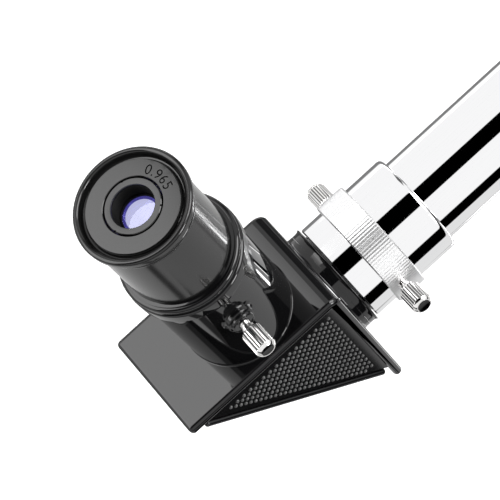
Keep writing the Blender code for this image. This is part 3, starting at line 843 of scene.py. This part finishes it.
def thumbscrew(tip, shoulder, seat):
    """A fluted chrome head on a thin threaded shank, drawn along Z."""
    shank, head, length = 1.25, 2.75, 6.8
    flutes, share = 22, 6
    end = shoulder + length
    threads = []
    height = shoulder - 1.45
    while height > seat + 0.3:
        threads += [(height, shank), (height - 0.25, shank - 0.16)]
        height -= 0.5
    outline = [
        (end - 0.02, 0),
        (end, 1.0),
        (end + 0.1, 1.75),
        (end + 0.12, 2.0),
        (end - 0.1, 2.3),
        (end - 0.6, head - 0.12),
        (end - 0.8, head),
        (shoulder + 0.5, head),
        (shoulder + 0.15, 2.4),
        (shoulder, 2.1),
        (shoulder, 1.6),
        (shoulder - 1.1, 1.6),
        (shoulder - 1.25, shank),
        *threads,
        (tip + 0.4, shank - 0.1),
        (tip, shank - 0.5),
        (tip, 0),
    ]
    shape = fluted(spun(outline, flutes * share), head, flutes, 0.32, 3)
    # Painted shade: the faces down in the flutes take the darker metal.
    paint(shape, 1, lambda place, normal: in_flute_shade(place, shoulder, end, head))
    # Painted shade: the end face inside its bright rim takes the near-black metal.
    return paint(shape, 2, lambda place, normal: place.z > end - 0.06 and place.xy.length < 1.8)


def in_flute_shade(place, shoulder, end, head):
    """Whether a face lies down in the flutes of a head, where the faces are painted darker as shade."""
    return shoulder + 0.5 < place.z < end - 0.8 and place.xy.length < head - 0.12


def across(degrees):
    """A direction square to the light axis, turned from -Y towards +Z."""
    turn = radians(degrees)
    return Vector((0, -cos(turn), sin(turn)))


def make_thumbscrews():
    jobs = [  # node, body, axis, foot, tip, shoulder, seat
        ("socket_thumbscrew", "socket_screw", -AXIS_Y, (0, 0, SCREW_Z), 12.45, 19.4, 16.6),
        ("collar_thumbscrew_near", "collar_screw_near", across(10), (34.6, 0, 0), 12.45, 18.4, 15.5),
        ("collar_thumbscrew_far", "collar_screw_far", across(190), (34.6, 0, 0), 12.45, 18.4, 15.5),
        ("focus_lock_screw", "lock_screw", AXIS_Z, (110.0, 0, 0), 12.45, 21.0, 18.0),
    ]
    for node, body, axis, place, tip, shoulder, seat in jobs:
        shape = lay(thumbscrew(tip, shoulder, seat), axis, place, 7)
        piece(f"{node}_fluted", shape, SCREW_CHROME, body, "chrome", [node], more=[FLUTE_SHADE_METAL, END_SHADE_METAL])


# ---------------------------------------------------------------- collar and drawtube


def make_drawtube():
    low, high = span("drawtube_collar")
    front, back, knurl_r = low.x, high.x, high.z
    collar_r, bore_r, knurl_start, knurl_end = 14.25, 12.35, 31.4, 39.7
    collar = [
        (back, bore_r),
        (back, collar_r - 1.3),
        *arc((back - 1.3, collar_r - 1.3), 1.3, 70, 10, 4),
        (back - 1.5, collar_r),
        (front + 0.35, collar_r),
        (front, collar_r - 0.35),
        (front, bore_r),
    ]
    shape = lay(spun(collar), AXIS_X)
    body = "drawtube_assembly"
    piece("collar_sleeve", shape, CHROME, body, "chrome", ["drawtube_collar"])

    serrations, share = 120, 6
    knurl = [
        (knurl_end, collar_r - 0.3),
        (knurl_end, knurl_r - 0.35),
        (knurl_end - 0.3, knurl_r),
        (knurl_start + 0.3, knurl_r),
        (knurl_start, knurl_r - 0.35),
        (knurl_start, collar_r - 0.3),
    ]
    shape = lay(fluted(spun(knurl, serrations * share), knurl_r, serrations, 0.06, 1), AXIS_X)
    piece("collar_knurled_ring", shape, KNURLED, body, "chrome", ["drawtube_collar"])

    low, high = span("drawtube")
    tube_r, wall = high.z, 0.9
    tube = [
        (high.x, tube_r - wall),
        (high.x, tube_r - 0.15),
        (high.x - 0.15, tube_r),
        (low.x + 0.15, tube_r),
        (low.x, tube_r - 0.15),
        (low.x, tube_r - wall),
    ]
    piece("drawtube_sleeve", lay(spun(tube), AXIS_X), CHROME, body, "chrome", ["drawtube"])


# ---------------------------------------------------------------- focuser

PINION = Vector((118.0, 0, -21.4))
BLOCK_X, BLOCK_HALF, BLOCK_LOW = (105.0, 131.0), 10.0, -30.0


def tube_fitting(name, shape, node, more=()):
    """A satin black piece that stays with the main tube and stands for a CAD node."""
    piece(name, shape, SATIN_BLACK, "tube_assembly", "satin_black_plastic", [node], more=more)


def make_focuser():
    low, high = span("focuser_body")
    hub_r, bore_r, hub_end = 18.0, 13.4, 128.0
    flange_r, flange_start, flange_end = high.y, 151.5, 156.0
    swell = [(146.0, 28.0), (140.0, 24.6), (135.0, 21.4), (131.0, 19.0), (126.5, hub_r)]
    plug_r, plug_bore_r = 27.8, 25.6
    casting = [
        (high.x, plug_r),
        (flange_end, plug_r),
        (flange_end, flange_r - 0.4),
        (flange_end - 0.4, flange_r),
        (flange_start + 0.5, flange_r),
        *arc((flange_start + 0.5, flange_r - 0.6), 0.6, 0, -80, 3)[1:],
        (flange_start - 0.3, 29.2),
        *curved(swell, 3),
        (low.x + 5.0, hub_r),
        (low.x + 4.7, hub_r - 0.35),
        (low.x + 4.1, hub_r - 0.35),
        (low.x + 3.8, hub_r),
        (low.x + 1.2, hub_r),
        *arc((low.x + 1.2, hub_r - 1.2), 1.2, -15, -75, 3),
        (low.x, hub_r - 1.4),
        (low.x, bore_r),
        (hub_end, bore_r),
        (146.0, plug_bore_r),
        (high.x, plug_bore_r),
    ]
    block = soften(slab((BLOCK_X[0], -BLOCK_HALF, BLOCK_LOW), (BLOCK_X[1], BLOCK_HALF, -14.5)), 1.0, 3)
    shape = combined(lay(spun(casting), AXIS_X), [block], "UNION")
    room = lay(spun([(4.2, 0), (4.2, 7.5), (-4.2, 7.5), (-4.2, 0)], 48), AXIS_Y, PINION)
    below = slab((PINION.x - 7.5, -4.2, BLOCK_LOW - 1), (PINION.x + 7.5, 4.2, PINION.z))
    rack_way = slab((90, -3.4, -16.6), (170, 3.4, -9))
    shaft_way = lay(spun([(20, 0), (20, 2.7), (-20, 2.7), (-20, 0)], TINY), AXIS_Y, PINION)
    lock_way = lay(spun([(20, 0), (20, 1.5), (8, 1.5), (8, 0)], TINY), AXIS_Z, (110.0, 0, 0))
    shape = combined(shape, [room, below, rack_way, shaft_way, lock_way])
    tube_fitting("focuser_casting", shape, "focuser_body")
    low, high = span("pinion_cap")
    tube_fitting("pinion_cap_plate", soften(slab(low, high), 0.5, 3), "pinion_cap")


def make_knobs():
    knob_r, ribs, share = 14.0, 44, 6
    for side, axis in (("left", -AXIS_Y), ("right", AXIS_Y)):
        knob = [
            (29.0, 2.65),
            (31.0, 3.2),
            (31.35, 4.2),
            *curved([(31.35, 5.0), (30.5, 7.4), (30.4, 9.5), (31.2, 11.6)], 3),
            *arc((30.6, knob_r - 1.6), 0.8, 80, 20, 3),
            (30.3, knob_r - 0.45),
            (29.9, knob_r),
            (19.9, knob_r),
            (19.4, knob_r - 0.45),
            (18.8, knob_r - 1.2),
            (18.8, 8.0),
            *curved([(18.4, 7.2), (17.2, 6.4), (14.5, 6.0)], 3),
            (14.5, 2.65),
        ]
        shape = fluted(spun(knob, ribs * share), knob_r, ribs, 0.5, 2)
        node = f"focus_knob_{side}"
        shape = lay(shape, axis, PINION)
        piece(f"{node}_ribbed", shape, RUBBED_BLACK, "focus_shaft", "satin_black_plastic", [node])


# ---------------------------------------------------------------- small screws


def pan_screw(tip, seat, shank=1.1, head=2.1, height=1.4):
    """A domed cross-recess screw along Z."""
    top = seat + height
    outline = [
        (top, 0),
        (top - 0.05 * height, 0.35 * head),
        (top - 0.2 * height, 0.65 * head),
        (top - 0.5 * height, 0.9 * head),
        (top - 0.75 * height, head),
        (seat, head),
        (seat, shank),
        (tip, shank),
        (tip, 0),
    ]
    arm, wide, deep = 0.55 * head, 0.13 * head, top - 0.55 * height
    cross = [
        slab((-arm, -wide, deep), (arm, wide, top + 1)),
        slab((-wide, -arm, deep), (wide, arm, top + 1)),
    ]
    return combined(spun(outline, TINY), cross)


def make_small_screws():
    jobs = []  # node, body, axis, foot, and (tip, seat, shank, head, height)
    number = 0
    for along in (-24.0, 27.0):
        for side in (-8.0, 8.0):
            number += 1
            foot = BACK_ALONG * along + AXIS_Y * side
            sizes = (1.5, 7.35, 1.0, 1.9, 1.1)
            jobs.append((f"cover_screw_{number}", "diagonal", -BACK_NORMAL, foot, sizes))
    number = 0
    for x in (BLOCK_X[0] + 2.8, BLOCK_X[1] - 2.8):
        for y in (-7.2, 7.2):
            number += 1
            sizes = (24.0, 32.9, 1.1, 2.1, 1.4)
            jobs.append((f"cap_screw_{number}", "tube_assembly", -AXIS_Z, Vector((x, y, 0)), sizes))
    for number, turn in enumerate((95, 215, 335), 1):
        sizes = (25.9, 29.15, 1.2, 2.3, 1.4)
        place = Vector((162.0, 0, 0))
        jobs.append((f"tube_screw_{number}", "tube_assembly", across(turn), place, sizes))
    for side, axis in (("left", -AXIS_Y), ("right", AXIS_Y)):
        jobs.append((f"knob_screw_{side}", "focus_shaft", axis, PINION, (21.0, 31.6, 1.25, 3.0, 1.8)))
    for number, (node, body, axis, place, sizes) in enumerate(jobs):
        shape = lay(pan_screw(*sizes), axis, place, 37 * number)
        piece(f"{node}_pan_head", shape, STEEL, body, "steel", [node])


# ---------------------------------------------------------------- main tube and objective


def make_main_tube():
    low, high = span("main_tube")
    tube_r, wall, chamfer = high.z, 1.0, 0.3
    tube = [
        (high.x, tube_r - wall),
        (high.x, tube_r - chamfer),
        (high.x - chamfer, tube_r),
        (low.x + chamfer, tube_r),
        (low.x, tube_r - chamfer),
        (low.x, tube_r - wall),
    ]
    inside = tube_r - 0.6
    shape = paint(lay(spun(tube), AXIS_X), 1, lambda place, normal: place.yz.length < inside)
    finish = (WHITE, "tube_assembly", "white_enamel")
    piece("main_tube_shell", shape, *finish, ["main_tube"], more=[MATT_BLACK])
    low, high = span("dew_shield")
    shade_r, wall = high.z, 1.4
    ridges = []
    for number in range(12):
        x = high.x - 4.0 - 4.5 * number
        ridges += [(x, shade_r - wall), (x - 0.3, shade_r - wall + 0.25), (x - 0.6, shade_r - wall)]
    shade = [
        *arc((high.x - wall / 2, shade_r - wall / 2), wall / 2, 180, 0, 8),
        (low.x + 9.0, shade_r),
        (low.x + 8.7, shade_r - 0.3),
        (low.x + 8.1, shade_r - 0.3),
        (low.x + 7.8, shade_r),
        (low.x + 1.5, shade_r),
        *arc((low.x + 1.5, shade_r - 1.5), 1.5, -15, -75, 4),
        (low.x, shade_r - 1.8),
        (low.x, 29.1),
        (low.x + 6, 29.1),
        (low.x + 6, shade_r - wall),
        *reversed(ridges),
    ]
    inside = shade_r - 0.8
    shape = paint(lay(spun(shade), AXIS_X), 1, lambda place, normal: place.yz.length < inside)
    tube_fitting("dew_shield_shell", shape, "dew_shield", [MATT_BLACK])


def make_objective():
    low, high = span("objective_cell")
    plug_r, rim_r, clear_r, bore_r, seat_r = 27.8, 29.7, 24.8, 25.8, 26.15
    nose_x, rim_front, rim_back = 309.0, 305.0, 302.3
    seat_front, seat_back = 295.0, 292.5
    cell = [
        (nose_x, plug_r - 0.4),
        (nose_x - 0.4, plug_r),
        (rim_front + 0.4, 28.0),
        (rim_front, 28.3),
        (rim_front, rim_r),
        (rim_front - 0.3, high.z),
        (rim_back + 0.3, high.z),
        (rim_back, rim_r),
        (rim_back, plug_r),
        (low.x, plug_r),
        (low.x, bore_r),
        (seat_back, bore_r),
        (seat_back, clear_r),
        (seat_front, clear_r),
        (seat_front, seat_r),
        (nose_x - 0.3, seat_r),
        (nose_x, seat_r + 0.25),
    ]
    shape = lay(spun(cell), AXIS_X)
    tube_fitting("objective_cell_ring", shape, "objective_cell")
    low, high = span("lens_retaining_ring")
    ring = [
        (high.x, clear_r + 0.3),
        (high.x, bore_r),
        (high.x - 0.2, high.z),
        (low.x, high.z),
        (low.x, clear_r),
        (high.x - 1.0, clear_r),
    ]
    notches = [slab((high.x - 0.9, -28, -0.9), (high.x + 1, 28, 0.9))]
    shape = combined(lay(spun(ring), AXIS_X), notches)
    tube_fitting("lens_spanner_ring", shape, "lens_retaining_ring")
    low, high = span("crown_lens")
    rim_front, rim_back, lens_r = 302.2, 299.6, high.z
    shares = [step / 8 for step in range(1, 8)]
    bulge = high.x - rim_front
    lens = [(high.x, 0)]
    lens += [(rim_front + bulge * (1 - share**2), share * lens_r) for share in shares]
    lens += [(rim_front, lens_r), (rim_back, lens_r)]
    lens += [(rim_back - bulge * (1 - share**2), share * lens_r) for share in reversed(shares)]
    lens += [(low.x, 0)]
    shape = lay(spun(lens), AXIS_X)
    piece("crown_lens_glass", shape, FRONT_GLASS, "tube_assembly", "coated_glass", ["crown_lens"])


def make_foot():
    low, high = span("mounting_foot")
    block = soften(slab(low, (high.x, high.y, -22.0)), 2.0, 5)
    middle = (low.x + high.x) / 2
    saddle = spun([(45, 0), (45, 29.1), (-45, 29.1), (-45, 0)])
    insert_way = spun([(45, 0), (45, 5.1), (33, 5.1), (33, 0)], 48)
    cutters = [lay(saddle, AXIS_X, (middle, 0, 0)), lay(insert_way, -AXIS_Z, (middle, 0, 0))]
    for side in (-14, 14):
        way = spun([(39, 0), (39, 1.75), (24, 1.75), (24, 0)], TINY)
        cutters.append(lay(way, -AXIS_Z, (middle + side, 0, 0)))
    shape = combined(block, cutters)
    tube_fitting("mounting_foot_block", shape, "mounting_foot")
    low, high = span("tripod_thread_insert")
    bottom, top, pitch = -low.z, -high.z, 1.27
    threads = []
    height = bottom - 0.5
    while height > top + pitch:
        threads += [(height, 3.1), (height - pitch / 2, 2.66)]
        height -= pitch
    insert = [
        *reversed(threads),
        (bottom, 3.3),
        (bottom, 4.8),
        (bottom - 0.2, high.y),
        (top, high.y),
        (top, 2.66),
    ]
    shape = lay(spun(insert, 48), -AXIS_Z, (middle, 0, 0))
    piece("threaded_brass_insert", shape, BRASS, "tube_assembly", "brass", ["tripod_thread_insert"])


# ---------------------------------------------------------------- studio


def direction(azimuth, elevation):
    turn, rise = radians(azimuth), radians(elevation)
    return Vector((cos(turn) * cos(rise), sin(turn) * cos(rise), sin(rise)))


def panel_group():
    """A soft-edged rectangular panel seen in a direction: 1 inside and 0 outside."""
    group, into, out = new_group(
        "studio_panel",
        [
            ("Direction", "NodeSocketVector", (0, 0, 1)),
            ("Facing", "NodeSocketVector", (0, 0, 1)),
            ("Across", "NodeSocketVector", (1, 0, 0)),
            ("Upward", "NodeSocketVector", (0, 1, 0)),
            ("Half Width", "NodeSocketFloat", 0.2),
            ("Half Height", "NodeSocketFloat", 0.2),
            ("Edge", "NodeSocketFloat", 0.02),
        ],
        [("Mask", "NodeSocketFloat")],
    )

    def dot(label):
        node = add(group, "ShaderNodeVectorMath", operation="DOT_PRODUCT")
        group.links.new(into.outputs["Direction"], node.inputs[0])
        group.links.new(into.outputs[label], node.inputs[1])
        return node.outputs["Value"]

    depth = dot("Facing")
    safe = maths(group, "MAXIMUM", depth, 0.001)
    masks = []
    for label, half in (("Across", "Half Width"), ("Upward", "Half Height")):
        offset = maths(group, "ABSOLUTE", maths(group, "DIVIDE", dot(label), safe))
        room = maths(group, "SUBTRACT", into.outputs[half], offset)
        masks.append(maths(group, "DIVIDE", room, into.outputs["Edge"], clamp=True))
    front = maths(group, "GREATER_THAN", depth, 0.001)
    both = maths(group, "MULTIPLY", masks[0], masks[1])
    group.links.new(maths(group, "MULTIPLY", both, front), out.inputs["Mask"])
    return group


def sheet(name, grey, glow, low, high, height, middle=Vector((0, 0, 0))):
    """A level sheet of card between two corners, in metres from a middle."""
    shape = bmesh.new()
    bmesh.ops.create_grid(shape, x_segments=1, y_segments=1, size=0.5)
    sides = Vector((high[0] - low[0], high[1] - low[1], 1))
    centre = Vector(((high[0] + low[0]) / 2, (high[1] + low[1]) / 2, height))
    bmesh.ops.scale(shape, vec=sides, verts=shape.verts)
    bmesh.ops.translate(shape, vec=centre + middle, verts=shape.verts)
    mesh = bpy.data.meshes.new(name)
    shape.to_mesh(mesh)
    shape.free()
    look, tree, principled, place = shader(f"{name}_paper", (grey, grey, grey), Roughness=1.0)
    principled.inputs["Emission Color"].default_value = (1, 1, 1, 1)
    principled.inputs["Emission Strength"].default_value = glow
    principled.inputs["Specular IOR Level"].default_value = 0.0
    mesh.materials.append(look)
    made = bpy.data.objects.new(name, mesh)
    bpy.context.scene.collection.objects.link(made)
    return made


def make_studio():
    world = bpy.data.worlds.new("studio")
    bpy.context.scene.world = world
    world.use_nodes = True
    tree = world.node_tree
    ray = tree.nodes.new("ShaderNodeTexCoord").outputs["Generated"]
    panel = panel_group()
    level = 1.0

    def lay_panel(level, value, facing, across_way, width, height, edge):
        """Mix a panel of one brightness over the studio so far."""
        facing = facing.normalized()
        sideways = (across_way - across_way.dot(facing) * facing).normalized()
        node = tree.nodes.new("ShaderNodeGroup")
        node.node_tree = panel
        tree.links.new(ray, node.inputs["Direction"])
        node.inputs["Facing"].default_value = facing
        node.inputs["Across"].default_value = sideways
        node.inputs["Upward"].default_value = facing.cross(sideways)
        node.inputs["Half Width"].default_value = width
        node.inputs["Half Height"].default_value = height
        node.inputs["Edge"].default_value = edge
        mix = tree.nodes.new("ShaderNodeMix")
        tree.links.new(node.outputs["Mask"], mix.inputs["Factor"])
        if isinstance(level, float):
            mix.inputs["A"].default_value = level
        else:
            tree.links.new(level, mix.inputs["A"])
        mix.inputs["B"].default_value = value
        return mix.outputs["Result"]

    def yz(angle):
        """A direction in the plane square to the tube, turned from +Y towards +Z."""
        return Vector((0, cos(radians(angle)), sin(radians(angle))))

    long_way = 6.0
    # brightness, facing, direction of the width, half width, half height, edge
    for card in (
        (4.0, direction(62, -8), AXIS_X, 0.5, 0.1, 0.05),
        (0.12, direction(36, 20), AXIS_Z, 0.5, 0.22, 0.08),
        (0.8, yz(-90), AXIS_X, long_way, 1.6, 0.3),
        (0.22, yz(-38), AXIS_X, long_way, 0.33, 0.08),
        (4.2, direction(147, 52), AXIS_X, 0.62, 0.3, 0.03),
        (0.0, yz(110.5), AXIS_X, long_way, 0.33, 0.02),
        (0.0, yz(-153.5), AXIS_X, long_way, 0.27, 0.03),
        (7.0, direction(-22, 35), AXIS_Z, 0.33, 0.33, 0.05),
        (14.0, direction(-60, 8), AXIS_Z, 0.2, 0.14, 0.04),
        (4.6, direction(0, -60), AXIS_Y, 0.045, 0.5, 0.015),
        (0.3, direction(15, -60), AXIS_Y, 0.06, 0.5, 0.03),
        (0.3, direction(-17, -60), AXIS_Y, 0.03, 0.5, 0.02),
        (0.1, direction(-147, -60), AXIS_Y, 0.07, 0.5, 0.03),
    ):
        level = lay_panel(level, *card)
    path = tree.nodes.new("ShaderNodeLightPath")
    dimmer = tree.nodes.new("ShaderNodeMapRange")
    dimmer.inputs["To Min"].default_value = 1.0
    dimmer.inputs["To Max"].default_value = 0.6
    tree.links.new(path.outputs["Is Diffuse Ray"], dimmer.inputs["Value"])
    strength = maths(tree, "MULTIPLY", level, dimmer.outputs[0])
    tree.links.new(strength, tree.nodes["Background"].inputs["Strength"])
    tree.nodes["Background"].inputs["Color"].default_value = (1, 1, 1, 1)

    floor = sheet("floor", 0.8, 0.6, (-6, -6), (6, 6), cad_low.z - 0.12)
    floor.visible_glossy = False
    flag = sheet("dark_card", 0.01, 0.0, (-0.06, -0.082), (0.017, -0.038), -0.08, MIRROR)
    flag.visible_camera = False
    for stage in (floor, flag):
        stage.visible_diffuse = False
        stage.visible_transmission = False
        stage.visible_shadow = False
    bpy.context.scene.view_settings.view_transform = "Standard"


SLOT_LOOKS = {
    "gloss_black_plastic": GLOSS_BLACK,
    "satin_black_plastic": SATIN_BLACK,
    "matt_black": MATT_BLACK,
    "chrome": CHROME,
    "steel": STEEL,
    "brass": BRASS,
    "white_enamel": WHITE,
    "coated_glass": FRONT_GLASS,
    "mirror": MIRROR_COAT,
    "foam": FOAM,
    "nylon": NYLON,
}


def paint_nodes():
    """Give each CAD node that still shows its slot's finish."""
    for part in frame["record"]["subparts"]:
        node = frame["nodes"].get(part["node"])
        if node is not None:
            node.data.materials.clear()
            node.data.materials.append(SLOT_LOOKS[part["material_slot"]])


make_camera()
paint_nodes()
make_eyepiece()
make_diagonal()
make_thumbscrews()
make_drawtube()
make_focuser()
make_knobs()
make_small_screws()
make_main_tube()
make_objective()
make_foot()
make_studio()
